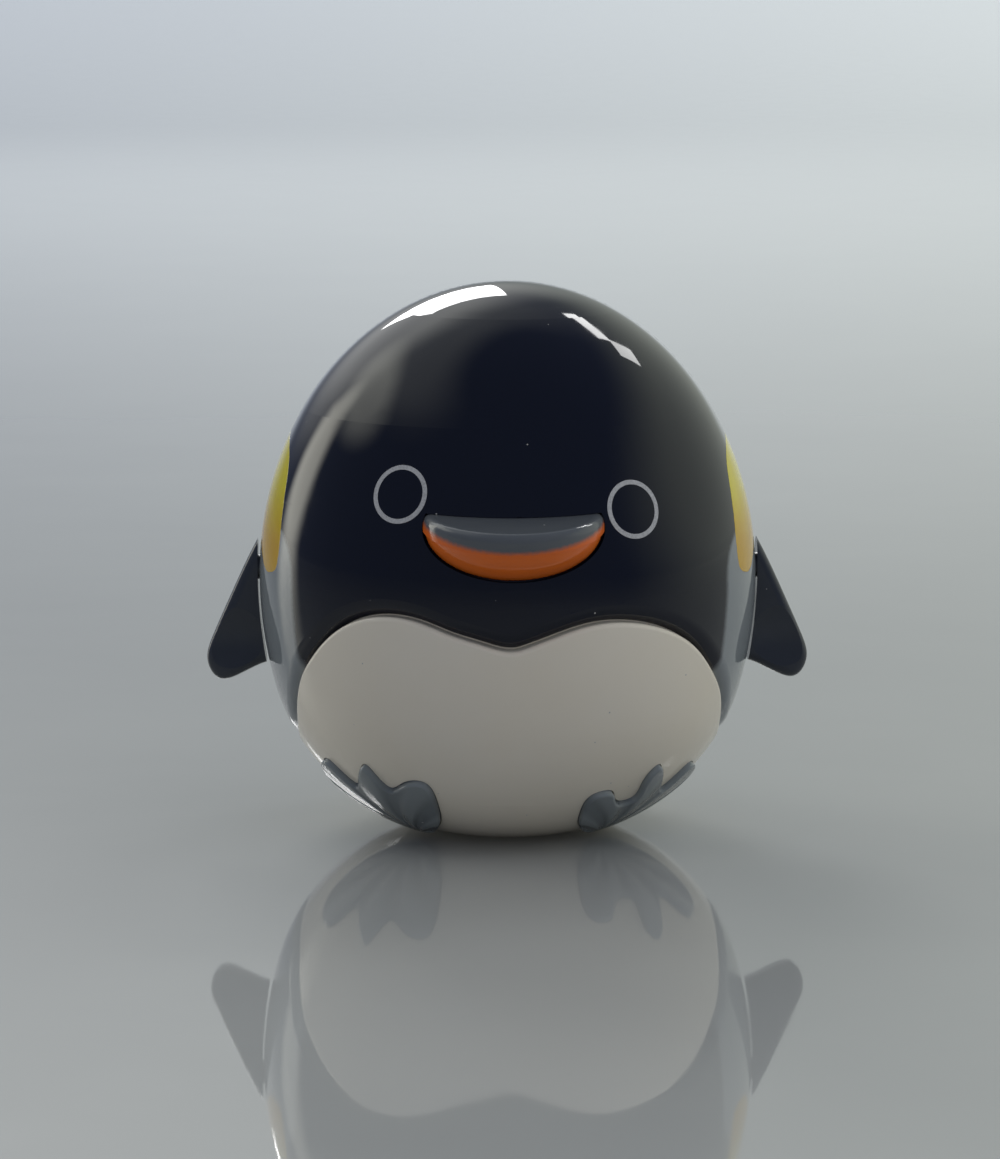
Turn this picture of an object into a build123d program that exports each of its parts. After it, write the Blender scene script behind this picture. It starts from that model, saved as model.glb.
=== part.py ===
from build123d import *
import math
import os

os.makedirs("parts", exist_ok=True)

# A round penguin figurine in moulded plastic, standing on a small flat base.
# Millimetres. The origin is the centre of the base, +Z is up and the face looks along -Y.

# Body form, a chain of arcs up and down from the widest height. A cap with its centre on
# the axis ends the crown at a height of 44, and the flat base cuts the flank's last arc.
body_radius = 20.0
widest_height = 20.4
crown_arc_radii = [27.18, 21.0]
crown_arc_angles = [30.0, 30.0]
flank_arc_radii = [32.5, 16.1, 17.1]
flank_arc_angles = [15.8, 30.8, 36.0]
shell_wall = 2.0

# Seam between the hood and the belly, in degrees seen from the body's centre:
# azimuth from the front, positive to +X, and latitude from the widest height
seam_angles = [
    (1.5, -8.6), (6.9, -6.7), (17.7, -3.5), (30.3, -4.0), (45.9, -10.4), (54.3, -17.0),
    (62.1, -23.8), (69.0, -31.0), (90.0, -40.2), (140.0, -48.2), (180.0, -49.7),
    (-140.0, -48.2), (-110.0, -44.5), (-80.5, -36.9), (-70.5, -31.5), (-59.4, -19.4),
    (-53.1, -13.7), (-40.2, -4.7), (-30.4, -2.1), (-21.0, -3.1), (-14.1, -5.5), (-7.5, -7.4),
]
seam_gap = 0.05
tongue_height = 1.6
tongue_fit = 0.06
hood_edge_round = 1.3
belly_edge_round = 0.35

# Locating pins between the front and back halves of the hood
pin_radius = 0.9
pin_length = 2.2
pin_fit = 0.05
pin_end_gap = 0.2
pin_boss_radius = 1.9
pin_boss_depth = 4.0
pin_circle_radius = 18.0
pin_circle_angles = (40.0, -26.0)

# Flipper pivots
pivot_height = 21.0
peg_radius = 1.0
peg_fit = 0.06
peg_head_radius = 1.9
peg_head_length = 1.3
peg_end_play = 0.1
pivot_boss_radius = 2.9
pivot_boss_inset = 4.6

# Flippers
flipper_root_gap = 0.13
flipper_root_radius = 44.0
flipper_reach = 4.1
flipper_height = 11.3
flipper_rise = 2.3
flipper_top = pivot_height + flipper_rise
flipper_thickness = 2.4
flipper_edge_round = 0.75
flipper_dish_depth = 0.3
flipper_dish_radius = 2.5
flipper_outline_shares = [
    (0.0, 1.0), (0.28, 0.80), (0.57, 0.57), (0.90, 0.30),
    (1.0, 0.12), (0.78, 0.0), (0.36, 0.03), (-0.25, 0.12),
]
flipper_dish_share = (0.50, 0.30)

# Beak
beak_half_width = 7.0
beak_forward = 6.6
beak_drop = 4.2
beak_centre_depth = 17.0
beak_centre_height = 26.5
beak_top_depth = 19.1
beak_top_rise = 1.0
beak_top_slope = 8.4
mouth_depth = 18.0
mouth_drop = 0.1
mouth_slope = 12.3
lower_beak_inset = 0.2
beak_seat = 0.8
beak_fit = 0.05
beak_edge_round = 0.65
beak_peg_radius = 0.7
beak_peg_length = 0.6
beak_peg_spread = 3.0
beak_peg_drop = 2.0

# Feet, as outlines in the seam's angles, starting at the heel and rising over the toes
foot_relief = 0.45
foot_seat = 0.5
foot_fit = 0.06
foot_edge_round = 0.25
left_foot_angles = [
    (-42.0, -65.0), (-29.0, -58.0), (-24.0, -49.0), (-25.2, -41.4), (-31.5, -42.0),
    (-38.3, -44.4), (-42.6, -38.2), (-47.5, -41.5), (-53.5, -45.5), (-60.0, -39.6),
    (-66.5, -41.5), (-70.5, -50.0), (-66.0, -60.0), (-54.0, -66.0),
]
right_foot_angles = [
    (44.0, -66.0), (30.0, -60.0), (24.0, -52.0), (25.0, -45.4), (30.0, -44.8),
    (36.5, -49.4), (42.0, -49.0), (41.2, -42.0), (43.2, -38.8), (48.5, -43.0),
    (55.0, -47.5), (61.0, -41.2), (67.0, -42.5), (71.0, -50.0), (68.0, -60.0),
    (57.0, -66.0),
]
foot_azimuth = 46.0
foot_latitude = -51.0
foot_reach_shares = (0.8, 1.3)

# Tail
tail_width = 5.0
tail_top_depth = 18.4
tail_top_height = 12.2
tail_tip_depth = 19.0
tail_tip_height = 7.4
tail_tip_thickness = 0.8
tail_root_depth = 6.5
tail_round = 1.0

# Ballast in the base
weight_radius = 5.8
weight_height = 4.0
weight_fit = 0.1
weight_chamfer = 0.4
cup_wall = 1.0
cup_height = 3.0

# Cutting tools run this far past what they cut
overrun = 5.0

half_wall = shell_wall / 2
body_centre = Vector(0, 0, widest_height)


def body_form(inset):
    """The body's outline turned about its axis, with its skin set in by the inset."""
    widest = Vector(body_radius - inset, widest_height)
    with BuildPart() as form:
        with BuildSketch(Plane.XZ):
            with BuildLine():
                start = widest
                heading = Vector(0, 1)
                for radius, angle in zip(crown_arc_radii, crown_arc_angles):
                    arc = JernArc(start, heading, radius - inset, angle)
                    start = arc @ 1
                    heading = arc % 1
                cap_angle = 90 - sum(crown_arc_angles)
                cap = JernArc(start, heading, start.X / heading.Y, cap_angle)
                start = widest
                heading = Vector(0, -1)
                for radius, angle in zip(flank_arc_radii, flank_arc_angles):
                    arc = JernArc(start, heading, radius - inset, -angle)
                    start = arc @ 1
                    heading = arc % 1
                Polyline(start, (0, start.Y), cap @ 1)
            make_face()
        revolve(axis=Axis.Z)
        split(bisect_by=Plane.XY.offset(inset), keep=Keep.TOP)
    return form.part


def direction(azimuth, latitude):
    """The unit vector from the body's centre at these angles."""
    turn = math.radians(azimuth)
    lift = math.radians(latitude)
    return Vector(
        math.cos(lift) * math.sin(turn), -math.cos(lift) * math.cos(turn), math.sin(lift)
    )


def seam_zone(rise):
    """All that lies below the seam, which is raised along the skin by the rise."""
    reach = body_radius + overrun
    lift = math.degrees(rise / body_radius)
    points = [
        body_centre + direction(azimuth, latitude + lift) * reach
        for azimuth, latitude in seam_angles
    ]
    feet = [Vector(point.X, point.Y, -body_radius) for point in points]
    with BuildLine() as upper_loop:
        Spline(*points, periodic=True)
    with BuildLine() as lower_loop:
        Spline(*feet, periodic=True)
    apex = Vertex(*body_centre)
    return Solid.make_loft([apex, upper_loop.wire(), lower_loop.wire()], ruled=True)


def skin_rim(shell):
    """The edges where a shell's skin meets the seam."""
    return shell.edges().filter_by(
        lambda edge: (edge @ 0.5 - body_centre).length > body_radius
        and abs((edge @ 0.5).Y) > half_wall
    )


outer_form = body_form(0)
cavity_form = body_form(shell_wall)
middle_form = body_form(half_wall)

# Bosses inside the hood, for the flipper pegs and the locating pins
pivot_boss_start = body_radius - pivot_boss_inset
pin_places = [
    (
        side * pin_circle_radius * math.cos(math.radians(angle)),
        widest_height + pin_circle_radius * math.sin(math.radians(angle)),
    )
    for side in (-1, 1)
    for angle in pin_circle_angles
]

with BuildPart() as boss_set:
    for side in (-1, 1):
        boss_plane = Plane((side * pivot_boss_start, 0, pivot_height), z_dir=(side, 0, 0))
        with BuildSketch(boss_plane):
            Circle(pivot_boss_radius)
        extrude(amount=pivot_boss_inset)
    with BuildSketch(Plane.XZ):
        with Locations(*pin_places):
            Circle(pin_boss_radius)
    extrude(amount=pin_boss_depth, both=True)
    add(middle_form, mode=Mode.INTERSECT)

# Tail, a low wedge on the back
tail_root_height = tail_tip_height - tail_tip_thickness
with BuildPart() as tail_form:
    with BuildSketch(Plane.YZ):
        with BuildLine():
            Polyline(
                (tail_top_depth, tail_top_height),
                (tail_tip_depth, tail_tip_height),
                (tail_tip_depth, tail_root_height),
                (tail_root_depth, tail_root_height),
                (tail_root_depth, tail_top_height),
                close=True,
            )
        make_face()
    extrude(amount=tail_width / 2, both=True)
    tail_side_edges = tail_form.edges().filter_by(Axis.X, reverse=True).group_by(Axis.Y)[-1]
    fillet(tail_side_edges, tail_round)

# Beak
beak_top_height = beak_centre_height + beak_top_rise
mouth_height = beak_centre_height - mouth_drop
beak_peg_height = beak_centre_height - beak_peg_drop


def beak_form(growth):
    """The whole bill, two halves in one, grown all over by the growth."""
    top_normal = Vector(0, -1, 0).rotate(Axis.X, -90 + beak_top_slope)
    top_point = Vector(0, -beak_top_depth, beak_top_height) + top_normal * growth
    width = beak_half_width + growth
    with BuildPart() as bill:
        Sphere(width)
        scale(by=(1, (beak_forward + growth) / width, (beak_drop + growth) / width))
    with BuildPart() as placed:
        with Locations((0, -beak_centre_depth, beak_centre_height)):
            add(bill.part)
        split(bisect_by=Plane(top_point, z_dir=top_normal), keep=Keep.BOTTOM)
    return placed.part


mouth_normal = Vector(0, -1, 0).rotate(Axis.X, -90 + mouth_slope)
mouth_plane = Plane((0, -mouth_depth, mouth_height), z_dir=mouth_normal)
beak_seat_form = body_form(beak_seat)
beak_floor_form = body_form(beak_seat + beak_fit)

with BuildPart() as upper_beak:
    add(beak_form(0))
    split(bisect_by=mouth_plane, keep=Keep.TOP)
    top_face = upper_beak.faces().filter_by(GeomType.PLANE).sort_by(Axis.Z)[-1]
    fillet(top_face.edges(), beak_edge_round)
    add(beak_seat_form, mode=Mode.SUBTRACT)

with BuildPart() as lower_beak:
    add(beak_form(-lower_beak_inset))
    split(bisect_by=mouth_plane, keep=Keep.BOTTOM)
    add(beak_seat_form, mode=Mode.SUBTRACT)
    beak_peg_depth = body_radius - shell_wall - beak_peg_length
    with BuildSketch(Plane.XZ.offset(beak_peg_depth)):
        with Locations((-beak_peg_spread, beak_peg_height), (beak_peg_spread, beak_peg_height)):
            Circle(beak_peg_radius)
    extrude(until=Until.NEXT)

# Hood, whole, before it is parted into its halves
tongue_groove = middle_form & seam_zone(tongue_height + tongue_fit)

with BuildPart() as hood:
    add(outer_form)
    add(cavity_form, mode=Mode.SUBTRACT)
    add(seam_zone(seam_gap), mode=Mode.SUBTRACT)
    fillet(skin_rim(hood), hood_edge_round)
    add(tail_form.part)
    add(cavity_form, mode=Mode.SUBTRACT)
    add(boss_set.part)
    add(tongue_groove, mode=Mode.SUBTRACT)
    with BuildSketch(Plane.YZ.offset(-body_radius)):
        with Locations((0, pivot_height)):
            Circle(peg_radius + peg_fit)
    extrude(amount=2 * body_radius, mode=Mode.SUBTRACT)

# Front of the hood, with the seat for the beak and the locating pins
with BuildPart() as hood_front:
    add(hood.part)
    split(bisect_by=Plane.XZ, keep=Keep.TOP)
    add(beak_form(beak_fit) - beak_floor_form, mode=Mode.SUBTRACT)
    with BuildSketch(Plane.XZ):
        with Locations((-beak_peg_spread, beak_peg_height), (beak_peg_spread, beak_peg_height)):
            Circle(beak_peg_radius + beak_fit)
    extrude(amount=body_radius, mode=Mode.SUBTRACT)
    with BuildSketch(Plane.XZ):
        with Locations(*pin_places):
            Circle(pin_radius)
    extrude(amount=-pin_length)

# Back of the hood, with the tail and the sockets for the pins
with BuildPart() as hood_back:
    add(hood.part)
    split(bisect_by=Plane.XZ, keep=Keep.BOTTOM)
    with BuildSketch(Plane.XZ):
        with Locations(*pin_places):
            Circle(pin_radius + pin_fit)
    extrude(amount=-(pin_length + pin_end_gap), mode=Mode.SUBTRACT)


# Feet
def toe_outline(angles, reach, growth):
    """One foot's outline on the plane across its middle, at a distance from the centre."""
    side = math.copysign(1, angles[0][0])
    middle = direction(side * foot_azimuth, foot_latitude)
    level = middle.cross(Vector(0, 0, 1)).normalized()
    plane = Plane(body_centre + middle * reach, x_dir=level, z_dir=middle)
    corners = []
    for azimuth, latitude in angles:
        ray = direction(azimuth, latitude)
        spot = plane.to_local_coords(body_centre + ray * (reach / ray.dot(middle)))
        corners.append(Vector(spot.X, spot.Y))
    grown = []
    for place, corner in enumerate(corners):
        along = corners[(place + 1) % len(corners)] - corners[place - 1]
        outward = Vector(-along.Y, along.X).normalized() * side
        grown.append(corner + outward * (growth * reach / body_radius))
    with BuildSketch(plane) as outline:
        with BuildLine():
            Spline(*grown, periodic=True)
        make_face()
    return outline.sketch


def toe_wedge(angles, growth):
    """The cone of space that one foot's outline sweeps out from the body's centre."""
    with BuildPart() as wedge:
        loft([toe_outline(angles, share * body_radius, growth) for share in foot_reach_shares])
    return wedge.part


def foot(angles):
    """One foot, which stands proud of the belly's skin and is let into it."""
    with BuildPart() as piece:
        add(toe_wedge(angles, 0))
        add(body_form(-foot_relief), mode=Mode.INTERSECT)
        skin_edges = piece.edges().filter_by(GeomType.CIRCLE, reverse=True)
        toe_rim = skin_edges.filter_by(
            lambda edge: (edge @ 0.5 - body_centre).length > body_radius
        )
        fillet(toe_rim, foot_edge_round)
        add(body_form(foot_seat), mode=Mode.SUBTRACT)
    return piece.part


foot_floor_form = body_form(foot_seat + foot_fit)
left_foot = foot(left_foot_angles)
right_foot = foot(right_foot_angles)

# Belly shell, with the tongue that holds the hood, the seats for the feet and the cup
belly_tongue = body_form(half_wall + tongue_fit) & seam_zone(tongue_height)

with BuildPart() as belly_shell:
    add(outer_form & seam_zone(0))
    fillet(skin_rim(belly_shell), belly_edge_round)
    add(belly_tongue)
    add(cavity_form, mode=Mode.SUBTRACT)
    for foot_angles in (left_foot_angles, right_foot_angles):
        add(toe_wedge(foot_angles, foot_fit) - foot_floor_form, mode=Mode.SUBTRACT)
    with BuildSketch(Plane.XY.offset(shell_wall)):
        Circle(weight_radius + weight_fit + cup_wall)
        Circle(weight_radius + weight_fit, mode=Mode.SUBTRACT)
    extrude(amount=cup_height)

# Ballast, a steel slug
with BuildPart() as base_weight:
    with BuildSketch(Plane.XY.offset(shell_wall)):
        Circle(weight_radius)
    extrude(amount=weight_height)
    chamfer(base_weight.edges(), weight_chamfer)


# Flippers
def flipper(side):
    """One flipper with its peg, on the +X side or the -X side."""
    root = body_radius + flipper_root_gap
    places = [
        (side * (root + reach_share * flipper_reach),
         flipper_top + (height_share - 1) * flipper_height)
        for reach_share, height_share in flipper_outline_shares
    ]
    head_end = pivot_boss_start - peg_end_play
    dish_depth = flipper_thickness / 2 - flipper_dish_depth
    dish_ball = (flipper_dish_radius ** 2 + flipper_dish_depth ** 2) / (2 * flipper_dish_depth)
    reach_share, height_share = flipper_dish_share
    with BuildPart() as blade:
        with BuildSketch(Plane.XZ):
            with BuildLine():
                Spline(*places)
                Line(places[-1], places[0])
            make_face()
        extrude(amount=flipper_thickness / 2, both=True)
        edge_rim = blade.edges().filter_by(GeomType.BSPLINE)
        fillet(edge_rim, flipper_edge_round)
        for facing in (-1, 1):
            with Locations((
                side * (root + reach_share * flipper_reach),
                facing * (dish_depth + dish_ball),
                flipper_top + (height_share - 1) * flipper_height,
            )):
                Sphere(dish_ball, mode=Mode.SUBTRACT)
        with Locations((side * (root - flipper_root_radius), 0, pivot_height)):
            Sphere(flipper_root_radius, mode=Mode.SUBTRACT)
        with BuildSketch(Plane((side * head_end, 0, pivot_height), z_dir=(side, 0, 0))):
            Circle(peg_radius)
        extrude(amount=root - head_end + peg_radius / 2)
        with BuildSketch(Plane((side * head_end, 0, pivot_height), z_dir=(-side, 0, 0))):
            Circle(peg_head_radius)
        extrude(amount=peg_head_length)
    return blade.part


left_flipper = flipper(-1)
right_flipper = flipper(1)

pieces = {
    "hood_front": hood_front.part,
    "hood_back": hood_back.part,
    "belly_shell": belly_shell.part,
    "upper_beak": upper_beak.part,
    "lower_beak": lower_beak.part,
    "left_foot": left_foot,
    "right_foot": right_foot,
    "left_flipper": left_flipper,
    "right_flipper": right_flipper,
    "base_weight": base_weight.part,
}
for name, piece in pieces.items():
    piece.label = name
    export_step(piece, "parts/" + name + ".step")
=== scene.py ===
import math

import bpy
from bpy.props import FloatProperty, FloatVectorProperty, PointerProperty
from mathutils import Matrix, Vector


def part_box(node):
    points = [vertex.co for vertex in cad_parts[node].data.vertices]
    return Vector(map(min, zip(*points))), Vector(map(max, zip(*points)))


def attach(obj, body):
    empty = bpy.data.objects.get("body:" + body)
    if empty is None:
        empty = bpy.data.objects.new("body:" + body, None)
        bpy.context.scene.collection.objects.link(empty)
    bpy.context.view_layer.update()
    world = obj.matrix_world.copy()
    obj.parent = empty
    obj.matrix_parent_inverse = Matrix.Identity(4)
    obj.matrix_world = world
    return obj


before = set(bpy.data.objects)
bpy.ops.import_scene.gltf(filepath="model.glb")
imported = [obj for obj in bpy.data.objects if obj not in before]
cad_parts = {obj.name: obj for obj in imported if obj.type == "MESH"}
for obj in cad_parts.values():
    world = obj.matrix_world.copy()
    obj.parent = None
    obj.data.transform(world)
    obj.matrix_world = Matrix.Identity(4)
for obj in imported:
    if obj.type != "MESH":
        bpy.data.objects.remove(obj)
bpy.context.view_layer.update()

bl_info = {
    "name": "Round Penguin Figurine",
    "version": (1, 0, 0),
    "blender": (4, 5, 0),
    "location": "3D View > Sidebar > Penguin",
    "description": "Finishes a small gloss plastic penguin and sets it on a studio floor",
    "category": "Object",
}

MM = 0.001
FIGURE = "figure"

# The body's form: its radius, read from the frame, and the height where it is widest
BODY_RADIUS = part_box("hood_front")[1].x
WIDEST_HEIGHT = 20.4 * MM

# The beak: half its width, and a point on its mouth with the mouth's slope down forwards
BEAK_HALF_WIDTH = 7.0 * MM
MOUTH_DEPTH = 18.0 * MM
MOUTH_HEIGHT = 26.4 * MM
MOUTH_SLOPE = math.radians(12.3)


def linear(hex_colour):
    """A colour written as sRGB hex, as linear red, green and blue."""
    channels = [int(hex_colour[place:place + 2], 16) / 255 for place in (1, 3, 5)]
    return tuple(
        value / 12.92 if value <= 0.04045 else ((value + 0.055) / 1.055) ** 2.4
        for value in channels
    )


def colour(name, description, hex_colour):
    """A colour that a user can change."""
    return FloatVectorProperty(
        name=name, description=description, default=linear(hex_colour),
        subtype="COLOR", size=3, min=0, max=1,
    )


def length(name, description, millimetres):
    """A length that a user can change."""
    return FloatProperty(
        name=name, description=description, default=millimetres * MM, unit="LENGTH", precision=5,
    )


def angle(name, description, degrees):
    """An angle that a user can change."""
    return FloatProperty(
        name=name, description=description, default=math.radians(degrees),
        subtype="ANGLE", unit="ROTATION",
    )


def radiance(name, description, value):
    """The brightness of a light that a user can change."""
    return FloatProperty(name=name, description=description, default=value, min=0)


class PenguinPrint(bpy.types.PropertyGroup):
    """Sizes and places of what is printed and painted on the shells."""

    ring_diameter: length("Ring Diameter", "Outside diameter of the printed eye ring", 4.55)
    ring_stroke: length("Ring Stroke", "Width of the printed line of the eye ring", 0.36)
    film_thickness: length("Film Thickness", "How far the printed ring stands off the shell", 0.02)
    left_eye_azimuth: angle("Left Eye Azimuth", "Left eye, round from the front", -27.8)
    left_eye_latitude: angle("Left Eye Latitude", "Left eye, up from the widest height", 25.0)
    right_eye_azimuth: angle("Right Eye Azimuth", "Right eye, round from the front", 29.1)
    right_eye_latitude: angle("Right Eye Latitude", "Right eye, up from the widest height", 21.5)
    paint_edge: length("Paint Edge", "Softness of the masked edge of the yellow paint", 0.06)
    paint_mist: length("Paint Mist", "Softness of the sprayed edge of the grey paint", 0.45)
    paint_depth: length("Paint Depth", "Thickness of a coat of paint at its masked edge", 0.02)


class PenguinSurface(bpy.types.PropertyGroup):
    """Sizes of what a moulded and handled gloss skin shows close up."""

    peel_size: length("Orange Peel Size", "Width of the lacquer's shallow ripples", 1.1)
    peel_depth: length("Orange Peel Depth", "Depth of the lacquer's shallow ripples", 0.0016)
    smudge_size: length("Smudge Size", "Width of the smudges that handling leaves", 5.0)
    hairline_width: length("Hairline Width", "Spacing of fine wiping scratches", 0.35)
    dust_spacing: length("Dust Spacing", "Distance between settled specks of dust", 2.6)


class PenguinColours(bpy.types.PropertyGroup):
    """Colours of the plastics, paints and prints."""

    black: colour("Black", "Black plastic of the hood", "#070c1c")
    flipper_black: colour("Flipper Black", "Duller black plastic of the flippers", "#2d3138")
    white: colour("White", "White plastic of the belly", "#f0e9da")
    grey: colour("Grey", "Blue-grey paint of the flanks and the back", "#878d90")
    # The yellow is made greenish partly as a painted reflection of the room on the upper patches;
    # the amber below is the patch's own colour
    yellow: colour("Yellow", "Yellow paint of the side patches", "#dccd00")
    amber: colour("Amber", "Warmer lower part of the side patches", "#cfa200")
    beak_grey: colour("Beak Grey", "Smoky grey paint of the upper beak", "#5e6266")
    orange: colour("Orange", "Orange plastic of the beak", "#ea6e22")
    foot_grey: colour("Foot Grey", "Slate grey of the feet", "#747b7e")
    # Painted highlight: the paler grey put along the toes' ridges where they would catch the light
    foot_ridge_highlight: colour("Foot Light", "Paler grey along the toes' ridges", "#888f91")
    ring_white: colour("Ring White", "Ink of the eye rings", "#c6c6c6")
    dust: colour("Dust", "Specks of dust on the gloss", "#b9b7b2")
    steel: colour("Steel", "Cropped steel of the ballast", "#8b8a88")


class PenguinStudio(bpy.types.PropertyGroup):
    """Camera, floor and lights."""

    camera_distance: length("Camera Distance", "From the lens to the figurine's middle", 320.0)
    camera_elevation: angle("Camera Elevation", "Height of the camera above the level", 8.5)
    camera_azimuth: angle("Camera Azimuth", "How far the camera stands round from the front", -1.5)
    floor_colour: colour("Floor", "Pale lacquered board", "#abadab")
    floor_shade: colour("Floor Shade", "Darker clouds in the board's lacquer", "#a2a4a3")
    room_light: radiance("Room Light", "Radiance of the dim room", 0.13)
    wall_light: radiance("Wall Light", "Radiance of a lit wall", 0.5)
    window_light: radiance("Softboxes", "Radiance of the softboxes", 3.0)


def add_node(tree, kind, inputs=None, **settings):
    """Adds a node with its settings; an input takes a value or is linked to an output."""
    node = tree.nodes.new(kind)
    for name, value in settings.items():
        setattr(node, name, value)
    for socket, value in (inputs or {}).items():
        if isinstance(value, bpy.types.NodeSocket):
            tree.links.new(value, node.inputs[socket])
        else:
            node.inputs[socket].default_value = value
    return node


def new_material(name, **constants):
    """A material with a shader set to its constants: itself, its tree, its shader, its place."""
    material = bpy.data.materials.new(name)
    material.use_nodes = True
    tree = material.node_tree
    tree.nodes.clear()
    inputs = {socket.replace("_", " "): value for socket, value in constants.items()}
    shader = add_node(tree, "ShaderNodeBsdfPrincipled", inputs)
    add_node(tree, "ShaderNodeOutputMaterial", {"Surface": shader.outputs["BSDF"]})
    place = add_node(tree, "ShaderNodeTexCoord").outputs["Object"]
    return material, tree, shader, place


def dress(node_name, material):
    """Puts a material on a piece of the frame."""
    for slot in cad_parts[node_name].material_slots:
        slot.material = material


def deselect():
    """Starts a modelling step with nothing selected."""
    if bpy.context.object and bpy.context.object.mode != "OBJECT":
        bpy.ops.object.mode_set(mode="OBJECT")
    bpy.ops.object.select_all(action="DESELECT")


def on_body(azimuth, latitude):
    """The direction from the body's middle at these angles."""
    return Vector((
        math.cos(latitude) * math.sin(azimuth),
        -math.cos(latitude) * math.cos(azimuth),
        math.sin(latitude),
    ))


# How much duller the skin is where it was touched, where it was wiped and where dust lies
SMUDGE_ROUGHNESS = 0.07
HAIRLINE_ROUGHNESS = 0.06
DUST_ROUGHNESS = 0.75
# Wiping scratches run mostly level, so their noise is drawn out twentyfold along X and Y
WIPED_LEVEL = (0.05, 0.05, 1.0)


def gloss_skin(tree, shader, place, base, gloss, relief=None):
    """What a gloss skin shows close up: orange peel, smudges, hairlines and settled dust.

    base is the skin's colour, gloss its clean roughness and relief the normal under the gloss.
    """
    surface = bpy.context.scene.penguin_surface
    peel = add_node(
        tree, "ShaderNodeTexNoise",
        {"Vector": place, "Scale": 1 / surface.peel_size, "Detail": 1.5, "Roughness": 0.4},
    )
    rippled = add_node(
        tree, "ShaderNodeBump", {"Height": peel.outputs["Fac"], "Distance": surface.peel_depth},
    )
    if relief is not None:
        tree.links.new(relief, rippled.inputs["Normal"])
    tree.links.new(rippled.outputs["Normal"], shader.inputs["Normal"])

    smudge = add_node(
        tree, "ShaderNodeTexNoise",
        {"Vector": place, "Scale": 1 / surface.smudge_size, "Detail": 4.0, "Roughness": 0.55,
         "Distortion": 0.6},
    )
    handled = add_node(
        tree, "ShaderNodeMapRange",
        {"Value": smudge.outputs["Fac"], "From Min": 0.42, "From Max": 0.72,
         "To Min": gloss, "To Max": gloss + SMUDGE_ROUGHNESS},
        interpolation_type="SMOOTHSTEP",
    )
    drawn_out = add_node(tree, "ShaderNodeMapping", {"Vector": place, "Scale": WIPED_LEVEL})
    hairlines = add_node(
        tree, "ShaderNodeTexNoise",
        {"Vector": drawn_out.outputs["Vector"], "Scale": 1 / surface.hairline_width,
         "Detail": 2.0},
    )
    scratched = add_node(
        tree, "ShaderNodeMapRange",
        {"Value": hairlines.outputs["Fac"], "From Min": 0.66, "From Max": 0.74,
         "To Max": HAIRLINE_ROUGHNESS},
    )
    wiped = add_node(
        tree, "ShaderNodeMath",
        {0: handled.outputs["Result"], 1: scratched.outputs["Result"]}, operation="ADD",
    )
    cells = add_node(
        tree, "ShaderNodeTexVoronoi", {"Vector": place, "Scale": 1 / surface.dust_spacing},
    )
    dust = add_node(
        tree, "ShaderNodeMapRange",
        {"Value": cells.outputs["Distance"], "From Min": 0.034, "From Max": 0.02},
        interpolation_type="SMOOTHSTEP",
    ).outputs["Result"]
    roughness = add_node(
        tree, "ShaderNodeMix",
        {"Factor": dust, "A": wiped.outputs["Value"], "B": DUST_ROUGHNESS},
    )
    dusty = add_node(
        tree, "ShaderNodeMix",
        {"Factor": dust, "A": base, "B": (*bpy.context.scene.penguin_colours.dust, 1)},
        data_type="RGBA",
    )
    tree.links.new(roughness.outputs["Result"], shader.inputs["Roughness"])
    tree.links.new(dusty.outputs["Result"], shader.inputs["Base Color"])


def clouded(tree, place, first, second, size):
    """Two shades of one stuff, mixed in soft clouds of a size."""
    clouds = add_node(
        tree, "ShaderNodeTexNoise", {"Vector": place, "Scale": 1 / size, "Detail": 3.0},
    )
    mixed = add_node(
        tree, "ShaderNodeMix",
        {"Factor": clouds.outputs["Fac"], "A": (*first, 1), "B": (*second, 1)},
        data_type="RGBA",
    )
    return mixed.outputs["Result"]


# Paint on the hood: edges of the sprayed zones, as height in mm and degrees round from the front
YELLOW_FRONT = [
    (21.3, 79.0), (21.5, 70.5), (21.9, 66.8), (22.6, 65.6), (24.0, 65.3), (26.0, 66.3),
    (28.0, 68.0), (30.0, 71.5), (31.2, 77.5), (31.8, 84.0), (32.2, 96.0),
]
YELLOW_BACK = [
    (21.3, 67.0), (21.6, 74.5), (22.5, 79.5), (23.6, 85.0), (25.5, 93.5), (27.5, 99.5),
    (29.5, 101.5), (31.0, 99.5), (31.8, 94.0), (32.2, 84.0),
]
GREY_FRONT = [
    (0.0, 58.2), (10.0, 58.2), (20.0, 58.4), (23.0, 59.6), (24.4, 63.0), (25.2, 67.0),
    (25.8, 85.0), (26.3, 130.0), (26.7, 190.0),
]
# The masks sat a little round to one side, by these degrees
YELLOW_LEAN = -1.2
GREY_LEAN = -0.5
# What a paint edge's curve spans: the body's height in mm, and a little past the back in degrees
BODY_HEIGHT = 44.0
CURVE_TURN = 200.0


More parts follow.
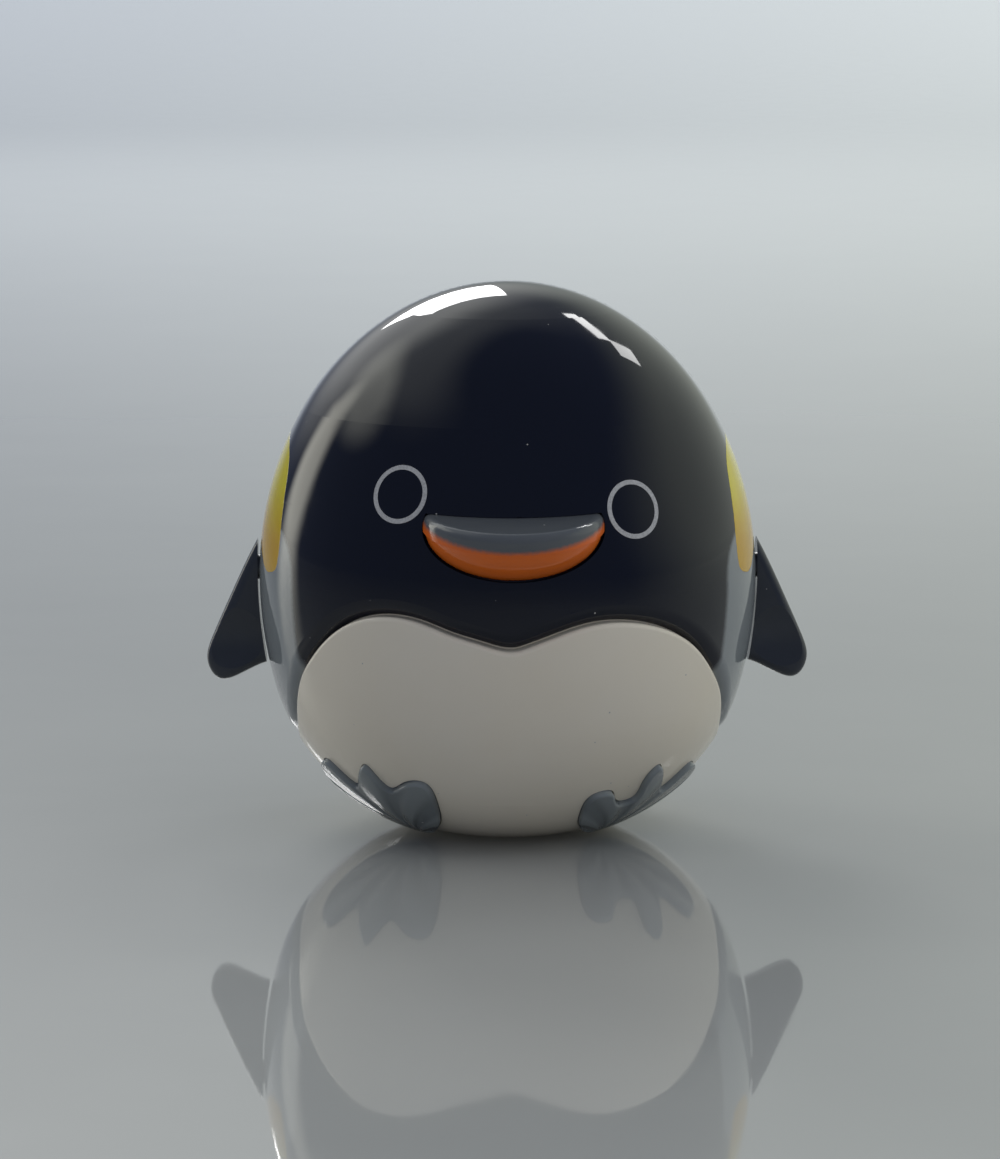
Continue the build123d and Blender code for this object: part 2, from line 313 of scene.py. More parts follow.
def painted_zone(tree, height, turn, side, points, lean, ragged, softness):
    """1 behind the edge of a coat of paint and 0 in front of it.

    height is in mm, and turn is in degrees round from the front on either side, -1 or 1.
    """
    share = add_node(
        tree, "ShaderNodeMath", {0: height, 1: BODY_HEIGHT}, operation="DIVIDE",
    )
    curve = add_node(tree, "ShaderNodeFloatCurve", {"Value": share.outputs["Value"]})
    line = curve.mapping.curves[0]
    spots = [(level / BODY_HEIGHT, degrees / CURVE_TURN) for level, degrees in points]
    line.points[0].location = spots[0]
    line.points[1].location = spots[-1]
    for spot in spots[1:-1]:
        line.points.new(*spot)
    curve.mapping.extend = "HORIZONTAL"
    curve.mapping.update()
    centred = add_node(
        tree, "ShaderNodeMath", {0: curve.outputs["Value"], 1: CURVE_TURN, 2: ragged},
        operation="MULTIPLY_ADD",
    )
    edge = add_node(
        tree, "ShaderNodeMath", {0: side, 1: lean, 2: centred.outputs["Value"]},
        operation="MULTIPLY_ADD",
    )
    past = add_node(
        tree, "ShaderNodeMath", {0: turn, 1: edge.outputs["Value"]}, operation="SUBTRACT",
    )
    step = add_node(
        tree, "ShaderNodeMapRange",
        {"Value": past.outputs["Value"], "From Min": -softness, "From Max": softness},
        interpolation_type="SMOOTHSTEP",
    )
    return step.outputs["Result"]


# How far paint creeps under its mask: the beads' length, and their reach in degrees
CREEP_LENGTH = 0.35 * MM
CREEP_REACH = 0.25
# How the yellow turns to amber lower down: clouds in the spray, and heights in mm. The amber is
# the patch's own warmer lower part; the greener yellow above is partly a painted reflection of the
# room.
SPRAY_CLOUDS = 4.0 * MM
AMBER_RAGGEDNESS = 3.0
AMBER_START = 30.5
AMBER_END = 25.0
# The parting line of the hood's halves: half its width, and its depth
PARTING_HALF_WIDTH = 0.09 * MM
PARTING_DEPTH = 0.04 * MM


def hood_material(colours, prints):
    """Injection-moulded black ABS, sprayed grey and yellow under one gloss lacquer.

    The lacquer gives dark, sharp reflections over all three colours. The yellow's masked edge
    stands up a little and catches a thin line of light, and the grey fades out in a fine mist.
    """
    material, tree, shader, place = new_material("lacquered_black_abs", IOR=1.5)
    axes = add_node(tree, "ShaderNodeSeparateXYZ", {"Vector": place}).outputs
    height = add_node(tree, "ShaderNodeMath", {0: axes["Z"], 1: MM}, operation="DIVIDE").outputs[0]
    front = add_node(tree, "ShaderNodeMath", {0: axes["Y"], 1: -1.0}, operation="MULTIPLY")
    bearing = add_node(
        tree, "ShaderNodeMath", {0: axes["X"], 1: front.outputs[0]}, operation="ARCTAN2",
    )
    azimuth = add_node(tree, "ShaderNodeMath", {0: bearing.outputs[0]}, operation="DEGREES")
    side = add_node(tree, "ShaderNodeMath", {0: azimuth.outputs[0]}, operation="SIGN").outputs[0]
    turn = add_node(
        tree, "ShaderNodeMath", {0: azimuth.outputs[0]}, operation="ABSOLUTE",
    ).outputs[0]
    softness = math.degrees(prints.paint_edge / BODY_RADIUS)
    mist = math.degrees(prints.paint_mist / BODY_RADIUS)

    creep = add_node(
        tree, "ShaderNodeTexNoise", {"Vector": place, "Scale": 1 / CREEP_LENGTH, "Detail": 2.0},
    )
    ragged = add_node(
        tree, "ShaderNodeMapRange",
        {"Value": creep.outputs["Fac"], "To Min": -CREEP_REACH, "To Max": CREEP_REACH},
    ).outputs["Result"]
    grey = painted_zone(tree, height, turn, side, GREY_FRONT, GREY_LEAN, ragged, mist)
    past_front = painted_zone(
        tree, height, turn, side, YELLOW_FRONT, YELLOW_LEAN, ragged, softness,
    )
    past_back = painted_zone(tree, height, turn, side, YELLOW_BACK, YELLOW_LEAN, ragged, softness)
    yellow = add_node(
        tree, "ShaderNodeMath", {0: past_front, 1: past_back},
        operation="SUBTRACT", use_clamp=True,
    ).outputs[0]

    # Each coat of paint is a little uneven, as sprayed by hand
    uneven = add_node(
        tree, "ShaderNodeTexNoise", {"Vector": place, "Scale": 1 / SPRAY_CLOUDS, "Detail": 3.0},
    )
    # Greenish yellow above to amber below: the amber is the paint's own lower part, and the
    # greener top is partly a painted reflection
    amber_height = add_node(
        tree, "ShaderNodeMath", {0: uneven.outputs["Fac"], 1: AMBER_RAGGEDNESS, 2: height},
        operation="MULTIPLY_ADD",
    )
    warm = add_node(
        tree, "ShaderNodeMapRange",
        {"Value": amber_height.outputs[0], "From Min": AMBER_START, "From Max": AMBER_END},
        interpolation_type="SMOOTHSTEP",
    )
    patch = add_node(
        tree, "ShaderNodeMix",
        {"Factor": warm.outputs["Result"], "A": (*colours.yellow, 1), "B": (*colours.amber, 1)},
        data_type="RGBA",
    )
    flank = add_node(
        tree, "ShaderNodeMix",
        {"Factor": grey, "A": (*colours.black, 1), "B": (*colours.grey, 1)}, data_type="RGBA",
    )
    painted = add_node(
        tree, "ShaderNodeMix",
        {"Factor": yellow, "A": flank.outputs["Result"], "B": patch.outputs["Result"]},
        data_type="RGBA",
    )

    # The yellow coat's masked edge, and the fine parting line between the halves of the hood
    raised = add_node(
        tree, "ShaderNodeBump", {"Height": yellow, "Distance": prints.paint_depth},
    )
    depth = add_node(tree, "ShaderNodeMath", {0: axes["Y"]}, operation="ABSOLUTE")
    parting = add_node(
        tree, "ShaderNodeMapRange",
        {"Value": depth.outputs[0], "From Max": PARTING_HALF_WIDTH},
        interpolation_type="SMOOTHSTEP",
    )
    parted = add_node(
        tree, "ShaderNodeBump",
        {"Height": parting.outputs["Result"], "Distance": PARTING_DEPTH,
         "Normal": raised.outputs["Normal"]},
    )
    gloss_skin(
        tree, shader, place, painted.outputs["Result"], gloss=0.03,
        relief=parted.outputs["Normal"],
    )
    return material


# How ageing dims the white's red, green and blue, and the size of its clouds
YELLOWING = (0.97, 0.94, 0.88)
YELLOWED_CLOUDS = 9.0 * MM


def belly_material(colours):
    """Injection-moulded ivory white ABS with a polished skin.

    It is glossy but pale, so its reflections are faint, and it yellows a little in soft clouds.
    """
    material, tree, shader, place = new_material("polished_ivory_abs", IOR=1.5)
    yellowed = tuple(share * tone for share, tone in zip(YELLOWING, colours.white))
    base = clouded(tree, place, colours.white, yellowed, YELLOWED_CLOUDS)
    gloss_skin(tree, shader, place, base, gloss=0.1)
    return material


# How the grey spray fades out over the mouth: its height, its climb at the corners, its grains
FADE_HEIGHT = 0.6 * MM
FADE_CLIMB = 0.5 * MM
FADE_GRAIN = 0.3 * MM
FADE_RAGGEDNESS = 0.25 * MM


def upper_beak_material(colours):
    """Orange ABS sprayed smoky grey from above.

    The spray fades out just over the mouth, so the orange glows through along that edge and
    climbs a little at the two corners.
    """
    material, tree, shader, place = new_material("sprayed_grey_abs", IOR=1.5)
    axes = add_node(tree, "ShaderNodeSeparateXYZ", {"Vector": place}).outputs
    # Height over the sloping mouth: Z less the mouth's own height at this depth
    sloped = add_node(
        tree, "ShaderNodeMath", {0: axes["Y"], 1: -math.tan(MOUTH_SLOPE), 2: axes["Z"]},
        operation="MULTIPLY_ADD",
    )
    over_mouth = add_node(
        tree, "ShaderNodeMath",
        {0: sloped.outputs[0], 1: MOUTH_HEIGHT + MOUTH_DEPTH * math.tan(MOUTH_SLOPE)},
        operation="SUBTRACT",
    )
    sideways = add_node(
        tree, "ShaderNodeMath", {0: axes["X"], 1: axes["X"]}, operation="MULTIPLY",
    )
    climbing = add_node(
        tree, "ShaderNodeMath",
        {0: sideways.outputs[0], 1: -FADE_CLIMB / BEAK_HALF_WIDTH ** 2,
         2: over_mouth.outputs[0]},
        operation="MULTIPLY_ADD",
    )
    mist = add_node(
        tree, "ShaderNodeTexNoise", {"Vector": place, "Scale": 1 / FADE_GRAIN, "Detail": 3.0},
    )
    misty = add_node(
        tree, "ShaderNodeMath",
        {0: mist.outputs["Fac"], 1: FADE_RAGGEDNESS, 2: climbing.outputs[0]},
        operation="MULTIPLY_ADD",
    )
    sprayed = add_node(
        tree, "ShaderNodeMapRange",
        {"Value": misty.outputs[0], "From Max": FADE_HEIGHT},
        interpolation_type="SMOOTHSTEP",
    )
    base = add_node(
        tree, "ShaderNodeMix",
        {"Factor": sprayed.outputs["Result"], "A": (*colours.orange, 1),
         "B": (*colours.beak_grey, 1)},
        data_type="RGBA",
    )
    gloss_skin(tree, shader, place, base.outputs["Result"], gloss=0.07)
    return material


# How much paler the orange's red, green and blue are in its flow marks, and their size
FLOW_PALENESS = (1.08, 1.25, 1.5)
FLOW_CLOUDS = 2.5 * MM


def lower_beak_material(colours):
    """Injection-moulded orange ABS, polished, a little paler where the melt flowed slowly."""
    material, tree, shader, place = new_material("polished_orange_abs", IOR=1.5)
    pale = tuple(min(1.0, tone * share) for tone, share in zip(colours.orange, FLOW_PALENESS))
    base = clouded(tree, place, colours.orange, pale, FLOW_CLOUDS)
    gloss_skin(tree, shader, place, base, gloss=0.08)
    return material


# The toes fan out from a point near the heel, in degrees round and up on the body
HEEL_AZIMUTH = 48.0
HEEL_LATITUDE = -66.0
MIDDLE_TOE_ANGLE = -6.8
TOE_SPACING = 23.5
RIDGE_HEIGHT = 0.2 * MM
# The body down there: its girth as a share of its widest, and its reach from the middle
LOW_GIRTH = 0.62
LOW_REACH = 1.09 * BODY_RADIUS


def foot_material(colours):
    """Injection-moulded slate grey ABS with a ridge along each toe and a hollow web between.

    The ridges are painted paler as a painted highlight where they would catch the light, and the
    webs between them are painted darker as painted shade.
    """
    material, tree, shader, place = new_material("ridged_slate_abs", IOR=1.5)
    axes = add_node(tree, "ShaderNodeSeparateXYZ", {"Vector": place}).outputs
    front = add_node(tree, "ShaderNodeMath", {0: axes["Y"], 1: -1.0}, operation="MULTIPLY")
    across = add_node(tree, "ShaderNodeMath", {0: axes["X"]}, operation="ABSOLUTE")
    bearing = add_node(
        tree, "ShaderNodeMath", {0: across.outputs[0], 1: front.outputs[0]}, operation="ARCTAN2",
    )
    from_heel = add_node(
        tree, "ShaderNodeMath", {0: bearing.outputs[0], 1: math.radians(HEEL_AZIMUTH)},
        operation="SUBTRACT",
    )
    sideways = add_node(
        tree, "ShaderNodeMath", {0: from_heel.outputs[0], 1: LOW_GIRTH}, operation="MULTIPLY",
    )
    lowness = add_node(
        tree, "ShaderNodeMath", {0: axes["Z"], 1: WIDEST_HEIGHT}, operation="SUBTRACT",
    )
    sine = add_node(
        tree, "ShaderNodeMath", {0: lowness.outputs[0], 1: LOW_REACH}, operation="DIVIDE",
    )
    latitude = add_node(tree, "ShaderNodeMath", {0: sine.outputs[0]}, operation="ARCSINE")
    upward = add_node(
        tree, "ShaderNodeMath", {0: latitude.outputs[0], 1: math.radians(HEEL_LATITUDE)},
        operation="SUBTRACT",
    )
    fan = add_node(
        tree, "ShaderNodeMath", {0: sideways.outputs[0], 1: upward.outputs[0]},
        operation="ARCTAN2",
    )
    phase = add_node(
        tree, "ShaderNodeMath",
        {0: fan.outputs[0], 1: 360 / TOE_SPACING,
         2: math.radians(-MIDDLE_TOE_ANGLE * 360 / TOE_SPACING)},
        operation="MULTIPLY_ADD",
    )
    wave = add_node(tree, "ShaderNodeMath", {0: phase.outputs[0]}, operation="COSINE")
    ridge = add_node(
        tree, "ShaderNodeMapRange", {"Value": wave.outputs[0], "From Min": -1.0},
        interpolation_type="SMOOTHSTEP",
    )
    raised = add_node(
        tree, "ShaderNodeBump", {"Height": ridge.outputs["Result"], "Distance": RIDGE_HEIGHT},
    )
    # Painted highlight and shade: the ridges are coloured paler and the webs between darker, as
    # light would fall on the relief
    base = add_node(
        tree, "ShaderNodeMix",
        {"Factor": ridge.outputs["Result"], "A": (*colours.foot_grey, 1),
         "B": (*colours.foot_ridge_highlight, 1)},
        data_type="RGBA",
    )
    gloss_skin(
        tree, shader, place, base.outputs["Result"], gloss=0.16,
        relief=raised.outputs["Normal"],
    )
    return material


# The flippers' clouds, and how much paler they are than the black
FLIPPER_CLOUDS = 3.0 * MM
FLIPPER_PALENESS = 1.4


def flipper_material(colours):
    """Injection-moulded black ABS, unpainted and a little duller than the lacquered hood.

    It shows soft reflections, and clouds in the black where the melt met in the mould.
    """
    material, tree, shader, place = new_material("polished_black_abs", IOR=1.5)
    pale = tuple(FLIPPER_PALENESS * tone for tone in colours.flipper_black)
    base = clouded(tree, place, colours.flipper_black, pale, FLIPPER_CLOUDS)
    gloss_skin(tree, shader, place, base, gloss=0.14)
    return material


# The ink's grains, and how far they stand up
INK_GRAIN = 0.12 * MM
INK_RELIEF = 0.003 * MM


def ring_material(colours):
    """White pad-printing ink, thin enough that the black grins through it in fine grains."""
    material, tree, shader, place = new_material("white_pad_ink", IOR=1.45, Roughness=0.3)
    grain = add_node(
        tree, "ShaderNodeTexNoise", {"Vector": place, "Scale": 1 / INK_GRAIN, "Detail": 2.0},
    )
    thin = add_node(
        tree, "ShaderNodeMapRange",
        {"Value": grain.outputs["Fac"], "From Min": 0.3, "From Max": 0.6, "To Min": 0.72},
    )
    base = add_node(
        tree, "ShaderNodeMix",
        {"Factor": thin.outputs["Result"], "A": (*colours.black, 1),
         "B": (*colours.ring_white, 1)},
        data_type="RGBA",
    )
    rough = add_node(
        tree, "ShaderNodeBump", {"Height": grain.outputs["Fac"], "Distance": INK_RELIEF},
    )
    tree.links.new(base.outputs["Result"], shader.inputs["Base Color"])
    tree.links.new(rough.outputs["Normal"], shader.inputs["Normal"])
    return material


# Lines left by drawing the bar: how far they are drawn out, their width and their depth
DRAWN_LEVEL = (0.04, 0.04, 1.0)
DRAWN_WIDTH = 0.12 * MM
DRAWN_DEPTH = 0.008 * MM
# Clouds that tumbling leaves in the steel, and how bright they are
TUMBLED_CLOUDS = 1.5 * MM
TUMBLED_SHADE = 0.7


def ballast_material(colours):
    """Mild steel bar, cropped and tumbled: grey, dull, with fine level lines from drawing."""
    material, tree, shader, place = new_material("cropped_steel", Metallic=1.0)
    drawn = add_node(tree, "ShaderNodeMapping", {"Vector": place, "Scale": DRAWN_LEVEL})
    lines = add_node(
        tree, "ShaderNodeTexNoise",
        {"Vector": drawn.outputs["Vector"], "Scale": 1 / DRAWN_WIDTH, "Detail": 3.0},
    )
    rough = add_node(
        tree, "ShaderNodeMapRange",
        {"Value": lines.outputs["Fac"], "To Min": 0.25, "To Max": 0.5},
    )
    scored = add_node(
        tree, "ShaderNodeBump", {"Height": lines.outputs["Fac"], "Distance": DRAWN_DEPTH},
    )
    darker = tuple(TUMBLED_SHADE * tone for tone in colours.steel)
    tree.links.new(
        clouded(tree, place, colours.steel, darker, TUMBLED_CLOUDS), shader.inputs["Base Color"],
    )
    tree.links.new(rough.outputs["Result"], shader.inputs["Roughness"])
    tree.links.new(scored.outputs["Normal"], shader.inputs["Normal"])
    return material


class PENGUIN_OT_hood(bpy.types.Operator):
    """Finish the two halves of the hood in lacquered black, grey and yellow"""

    bl_idname = "penguin.hood"
    bl_label = "Finish Hood"

    def execute(self, context):
        scene = context.scene
        material = hood_material(scene.penguin_colours, scene.penguin_print)
        dress("hood_front", material)
        dress("hood_back", material)
        return {"FINISHED"}


class PENGUIN_OT_belly(bpy.types.Operator):
    """Finish the belly shell in ivory white plastic"""

    bl_idname = "penguin.belly"
    bl_label = "Finish Belly"

    def execute(self, context):
        dress("belly_shell", belly_material(context.scene.penguin_colours))
        return {"FINISHED"}


class PENGUIN_OT_beak(bpy.types.Operator):
    """Finish the two halves of the beak"""

    bl_idname = "penguin.beak"
    bl_label = "Finish Beak"

    def execute(self, context):
        colours = context.scene.penguin_colours
        dress("upper_beak", upper_beak_material(colours))
        dress("lower_beak", lower_beak_material(colours))
        return {"FINISHED"}


class PENGUIN_OT_feet(bpy.types.Operator):
    """Finish the two feet in slate grey, with ridged toes"""

    bl_idname = "penguin.feet"
    bl_label = "Finish Feet"

    def execute(self, context):
        material = foot_material(context.scene.penguin_colours)
        dress("left_foot", material)
        dress("right_foot", material)
        return {"FINISHED"}


class PENGUIN_OT_flippers(bpy.types.Operator):
    """Finish the two flippers in unpainted black"""

    bl_idname = "penguin.flippers"
    bl_label = "Finish Flippers"

    def execute(self, context):
        material = flipper_material(context.scene.penguin_colours)
        dress("left_flipper", material)
        dress("right_flipper", material)
        return {"FINISHED"}


class PENGUIN_OT_ballast(bpy.types.Operator):
    """Finish the steel slug in the base"""

    bl_idname = "penguin.ballast"
    bl_label = "Finish Ballast"

    def execute(self, context):
        dress("base_weight", ballast_material(context.scene.penguin_colours))
        return {"FINISHED"}


# A ring is made of this many segments and starts flat, this far off the hood
RING_SEGMENTS = 160
RING_STANDOFF = 3.0 * MM
# The steepest corner that is shaded smooth
SMOOTH_BELOW = math.radians(40)


def eye_ring(name, azimuth, latitude, prints, material):
    """One printed ring, made flat, laid on the hood along its own axis and made a film."""
    outward = on_body(azimuth, latitude)
    centre = Vector((0, 0, WIDEST_HEIGHT))
    deselect()
    bpy.ops.mesh.primitive_circle_add(
        vertices=RING_SEGMENTS, radius=prints.ring_diameter / 2, fill_type="NGON",
        location=centre + outward * (BODY_RADIUS + RING_STANDOFF),
        rotation=outward.to_track_quat("Z", "Y").to_euler(),
    )
    ring = bpy.context.object
    ring.name = name
    bpy.ops.object.mode_set(mode="EDIT")
    bpy.ops.mesh.select_all(action="SELECT")
    bpy.ops.mesh.inset(thickness=prints.ring_stroke)
    bpy.ops.mesh.delete(type="FACE")
    bpy.ops.mesh.select_all(action="SELECT")
    bpy.ops.mesh.subdivide(number_cuts=1)
    bpy.ops.object.mode_set(mode="OBJECT")
    laid = ring.modifiers.new("lay_on_hood", "SHRINKWRAP")
    laid.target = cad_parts["hood_front"]
    laid.wrap_method = "PROJECT"
    laid.use_project_z = True
    laid.use_negative_direction = True
    laid.use_positive_direction = False
    laid.offset = prints.film_thickness
    bpy.ops.object.modifier_apply(modifier=laid.name)
    bpy.ops.object.transform_apply(location=True, rotation=True, scale=True)
    film = ring.modifiers.new("film", "SOLIDIFY")
    film.thickness = 2 * prints.film_thickness
    film.offset = -1
    bpy.ops.object.modifier_apply(modifier=film.name)
    bpy.ops.object.shade_smooth_by_angle(angle=SMOOTH_BELOW)
    ring.data.materials.append(material)
    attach(ring, FIGURE)
    return ring


class PENGUIN_OT_eyes(bpy.types.Operator):
    """Print the two eye rings on the hood"""

    bl_idname = "penguin.eyes"
    bl_label = "Print Eyes"

    def execute(self, context):
        prints = context.scene.penguin_print
        ink = ring_material(context.scene.penguin_colours)
        for name, azimuth, latitude in (
            ("left_eye_ring", prints.left_eye_azimuth, prints.left_eye_latitude),
            ("right_eye_ring", prints.right_eye_azimuth, prints.right_eye_latitude),
        ):
            eye_ring(name, azimuth, latitude, prints, ink)
        return {"FINISHED"}


# How far the floor reaches from the figurine, in metres
FLOOR_REACH = 8.0
# Clouds in the board's colour, and in its lacquer, and the lacquer's ripples
BOARD_CLOUDS = 30.0 * MM
LACQUER_CLOUDS = 12.0 * MM
LACQUER_RIPPLES = 7.0 * MM
RIPPLE_DEPTH = 0.003 * MM


def floor_material(studio):
    """Pale laminated board under a gloss lacquer that mirrors the figurine's base.

    The lacquer is a little cloudy, so its mirror image is soft in places.
    """
    material, tree, shader, place = new_material("lacquered_board", IOR=1.5)
    base = clouded(tree, place, studio.floor_colour, studio.floor_shade, BOARD_CLOUDS)
    film = add_node(
        tree, "ShaderNodeTexNoise", {"Vector": place, "Scale": 1 / LACQUER_CLOUDS, "Detail": 4.0},
    )
    cloudy = add_node(
        tree, "ShaderNodeMapRange",
        {"Value": film.outputs["Fac"], "From Min": 0.35, "From Max": 0.7, "To Min": 0.02,
         "To Max": 0.055},
    )
    ripple = add_node(
        tree, "ShaderNodeTexNoise", {"Vector": place, "Scale": 1 / LACQUER_RIPPLES, "Detail": 1.0},
    )
    rippled = add_node(
        tree, "ShaderNodeBump", {"Height": ripple.outputs["Fac"], "Distance": RIPPLE_DEPTH},
    )
    tree.links.new(base, shader.inputs["Base Color"])
    tree.links.new(cloudy.outputs["Result"], shader.inputs["Roughness"])
    tree.links.new(rippled.outputs["Normal"], shader.inputs["Normal"])
    return material


# The dim room's own tint
ROOM_TINT = (0.85, 1.0, 1.45)
# Lit walls of the room, each a soft patch: azimuth, half-width, elevation and half-height in
# degrees, its share of the wall light and its tint
LIT_WALLS = [
    (125.0, 56.0, 16.0, 30.0, 0.95, (1.0, 1.04, 0.78)),
    (180.0, 24.0, -3.0, 11.0, 0.8, (0.94, 1.0, 1.04)),
    (-156.0, 30.0, 33.0, 22.0, 1.9, (1.0, 1.0, 0.94)),
    (-132.0, 72.0, 57.0, 18.0, 0.75, (1.0, 1.02, 0.92)),
    (-116.0, 24.0, 38.0, 11.0, 2.4, (1.0, 1.0, 0.88)),
    (-124.0, 9.0, 12.0, 19.0, 4.8, (1.0, 0.98, 0.86)),
]
# A patch is full up to one share of its half-width and half-height, and fades out at another
PATCH_FULL = 0.5
PATCH_END = 1.4


def studio_world(studio):
    """A dim, cool room with softly lit walls at its sides and back."""
    world = bpy.data.worlds.new("studio")
    world.use_nodes = True
    tree = world.node_tree
    tree.nodes.clear()
    way = add_node(tree, "ShaderNodeTexCoord").outputs["Generated"]
    axes = add_node(tree, "ShaderNodeSeparateXYZ", {"Vector": way}).outputs
    front = add_node(tree, "ShaderNodeMath", {0: axes["Y"], 1: -1.0}, operation="MULTIPLY")
    bearing = add_node(
        tree, "ShaderNodeMath", {0: axes["X"], 1: front.outputs[0]}, operation="ARCTAN2",
    )
    elevation = add_node(tree, "ShaderNodeMath", {0: axes["Z"]}, operation="ARCSINE")
    room = (*(studio.room_light * tint for tint in ROOM_TINT), 1)
    for azimuth, wide, height, tall, share, tint in LIT_WALLS:
        turned = add_node(
            tree, "ShaderNodeMath", {0: bearing.outputs[0], 1: math.radians(azimuth)},
            operation="SUBTRACT",
        )
        wrapped = add_node(
            tree, "ShaderNodeMath", {0: turned.outputs[0], 1: math.pi, 2: -math.pi},
            operation="WRAP",
        )
        sideways = add_node(
            tree, "ShaderNodeMath", {0: wrapped.outputs[0], 1: math.radians(wide)},
            operation="DIVIDE",
        )
        raised = add_node(
            tree, "ShaderNodeMath", {0: elevation.outputs[0], 1: math.radians(height)},
            operation="SUBTRACT",
        )
        upward = add_node(
            tree, "ShaderNodeMath", {0: raised.outputs[0], 1: math.radians(tall)},
            operation="DIVIDE",
        )
        spot = add_node(
            tree, "ShaderNodeCombineXYZ", {"X": sideways.outputs[0], "Y": upward.outputs[0]},
        )
        reach = add_node(
            tree, "ShaderNodeVectorMath", {0: spot.outputs["Vector"]}, operation="LENGTH",
        )
        lit = add_node(
            tree, "ShaderNodeMapRange",
            {"Value": reach.outputs["Value"], "From Min": PATCH_END, "From Max": PATCH_FULL},
            interpolation_type="SMOOTHSTEP",
        )
        wall = (*(studio.wall_light * share * level for level in tint), 1)
        room = add_node(
            tree, "ShaderNodeMix", {"Factor": lit.outputs["Result"], "A": room, "B": wall},
            data_type="RGBA", blend_type="ADD",
        ).outputs["Result"]
    backdrop = add_node(tree, "ShaderNodeBackground", {"Color": room})
    add_node(tree, "ShaderNodeOutputWorld", {"Surface": backdrop.outputs["Background"]})
    return world


# Softboxes: name, azimuth and elevation seen from the figurine, distance in metres, width and
# height in degrees, share of the window light, and whether the gloss mirrors it
SOFTBOXES = [
    ("back_window", -170.5, 29.5, 1.2, 17.0, 20.0, 3.3, True),
    ("right_window", 147.0, 46.5, 1.0, 13.0, 5.0, 2.6, True),
    ("right_strip", 134.0, 40.5, 1.0, 7.0, 7.0, 1.8, True),
    ("front_fill", -6.0, 6.0, 0.8, 80.0, 10.0, 0.44, False),
    ("board_fill", 48.0, 40.0, 0.2, 55.0, 40.0, 0.16, False),
    ("right_fill", 108.0, 9.0, 0.8, 40.0, 16.0, 0.7, False),
    ("left_fill", -112.0, 9.0, 0.8, 30.0, 14.0, 0.6, False),
    ("overhead_fill", 30.0, 68.0, 0.8, 60.0, 40.0, 0.15, False),
]


def softbox(name, azimuth, elevation, distance, wide, tall, brightness, in_gloss):
    """One area light that faces the figurine, set by the angles that it covers."""
    aim = Vector((0, 0, WIDEST_HEIGHT))
    way = on_body(math.radians(azimuth), math.radians(elevation))
    width = 2 * distance * math.tan(math.radians(wide / 2))
    height = 2 * distance * math.tan(math.radians(tall / 2))
    lamp = bpy.data.lights.new(name, "AREA")
    lamp.shape = "RECTANGLE"
    lamp.size = width
    lamp.size_y = height
    lamp.energy = brightness * math.pi * width * height
    box = bpy.data.objects.new(name, lamp)
    box.location = aim + way * distance
    box.rotation_euler = way.to_track_quat("Z", "Y").to_euler()
    box.visible_glossy = in_gloss
    bpy.context.scene.collection.objects.link(box)
    return box


class PENGUIN_OT_stage(bpy.types.Operator):
    """Set the floor, the room's light and the softboxes"""

    bl_idname = "penguin.stage"
    bl_label = "Set Stage"

    def execute(self, context):
        scene = context.scene
        studio = scene.penguin_studio
        deselect()
        bpy.ops.mesh.primitive_plane_add(size=2 * FLOOR_REACH, location=(0, 0, 0))
        floor = context.object
        floor.name = "floor"
        floor.data.materials.append(floor_material(studio))
        scene.world = studio_world(studio)
        for name, azimuth, elevation, distance, wide, tall, share, in_gloss in SOFTBOXES:
            softbox(
                name, azimuth, elevation, distance, wide, tall,
                share * studio.window_light, in_gloss,
            )
        scene.view_settings.view_transform = "Standard"
        return {"FINISHED"}


# The photograph's size and focal length in pixels, and where the camera's target falls in it
PHOTO_WIDTH = 1000
PHOTO_HEIGHT = 1159
FOCAL_PIXELS = 3965
TARGET_PIXEL = (507.5, 553.3)
TARGET_HEIGHT = 22.0 * MM
# The sensor's width in millimetres, and the nearest distance that the camera sees
SENSOR_WIDTH = 36.0
NEAREST_SEEN = 10.0 * MM


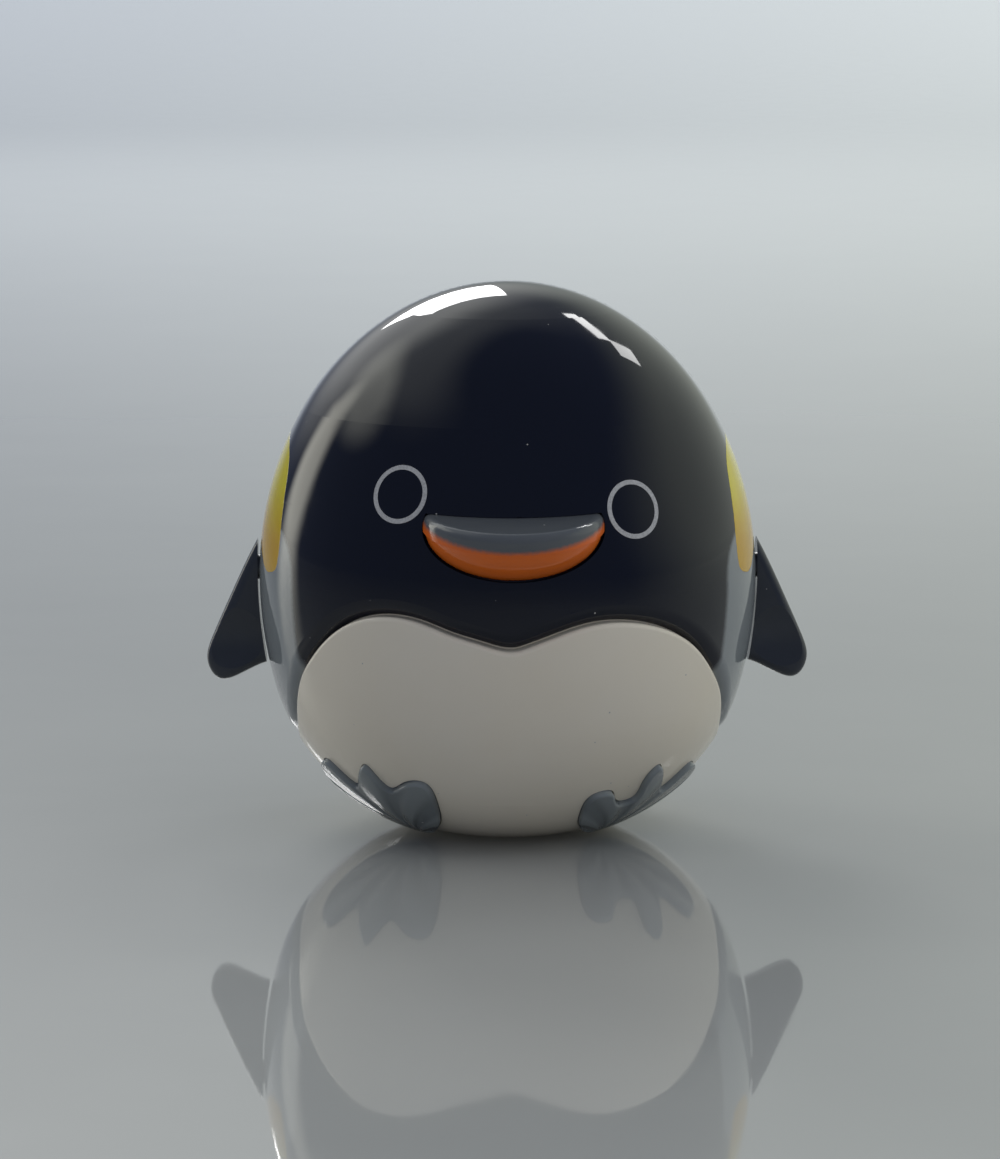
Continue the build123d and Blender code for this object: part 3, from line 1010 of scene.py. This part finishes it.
class PENGUIN_OT_camera(bpy.types.Operator):
    """Set the camera at the photograph's viewing angle"""

    bl_idname = "penguin.camera"
    bl_label = "Set Camera"

    def execute(self, context):
        studio = context.scene.penguin_studio
        target = Vector((0, 0, TARGET_HEIGHT))
        way = on_body(studio.camera_azimuth, studio.camera_elevation)
        lens = bpy.data.cameras.new("camera")
        lens.sensor_fit = "HORIZONTAL"
        lens.sensor_width = SENSOR_WIDTH
        lens.lens = SENSOR_WIDTH * FOCAL_PIXELS / PHOTO_WIDTH
        lens.shift_x = (PHOTO_WIDTH / 2 - TARGET_PIXEL[0]) / PHOTO_WIDTH
        lens.shift_y = (TARGET_PIXEL[1] - PHOTO_HEIGHT / 2) / PHOTO_WIDTH
        lens.clip_start = NEAREST_SEEN
        camera = bpy.data.objects.new("camera", lens)
        camera.location = target + way * studio.camera_distance
        camera.rotation_euler = way.to_track_quat("Z", "Y").to_euler()
        context.scene.collection.objects.link(camera)
        context.scene.camera = camera
        return {"FINISHED"}


class PENGUIN_PT_panel(bpy.types.Panel):
    """Steps and settings of the penguin figurine"""

    bl_idname = "PENGUIN_PT_panel"
    bl_label = "Penguin Figurine"
    bl_space_type = "VIEW_3D"
    bl_region_type = "UI"
    bl_category = "Penguin"

    def draw(self, context):
        for operator in STEPS:
            self.layout.operator(operator.bl_idname)
        for group in GROUPS:
            settings = getattr(context.scene, group)
            box = self.layout.box()
            for name in settings.__annotations__:
                box.prop(settings, name)


GROUPS = {
    "penguin_print": PenguinPrint,
    "penguin_surface": PenguinSurface,
    "penguin_colours": PenguinColours,
    "penguin_studio": PenguinStudio,
}
STEPS = (
    PENGUIN_OT_camera,
    PENGUIN_OT_stage,
    PENGUIN_OT_hood,
    PENGUIN_OT_belly,
    PENGUIN_OT_eyes,
    PENGUIN_OT_beak,
    PENGUIN_OT_feet,
    PENGUIN_OT_flippers,
    PENGUIN_OT_ballast,
)


def register():
    """Makes the settings, steps and panel known."""
    for name, group in GROUPS.items():
        bpy.utils.register_class(group)
        setattr(bpy.types.Scene, name, PointerProperty(type=group))
    for step in STEPS:
        bpy.utils.register_class(step)
    bpy.utils.register_class(PENGUIN_PT_panel)


def unregister():
    """Takes them away again, last first."""
    bpy.utils.unregister_class(PENGUIN_PT_panel)
    for step in reversed(STEPS):
        bpy.utils.unregister_class(step)
    for name, group in reversed(GROUPS.items()):
        delattr(bpy.types.Scene, name)
        bpy.utils.unregister_class(group)


def main():
    """Runs every step in order."""
    register()
    bpy.ops.penguin.camera()
    bpy.ops.penguin.stage()
    bpy.ops.penguin.hood()
    bpy.ops.penguin.belly()
    bpy.ops.penguin.eyes()
    bpy.ops.penguin.beak()
    bpy.ops.penguin.feet()
    bpy.ops.penguin.flippers()
    bpy.ops.penguin.ballast()


if __name__ == "__main__":
    main()
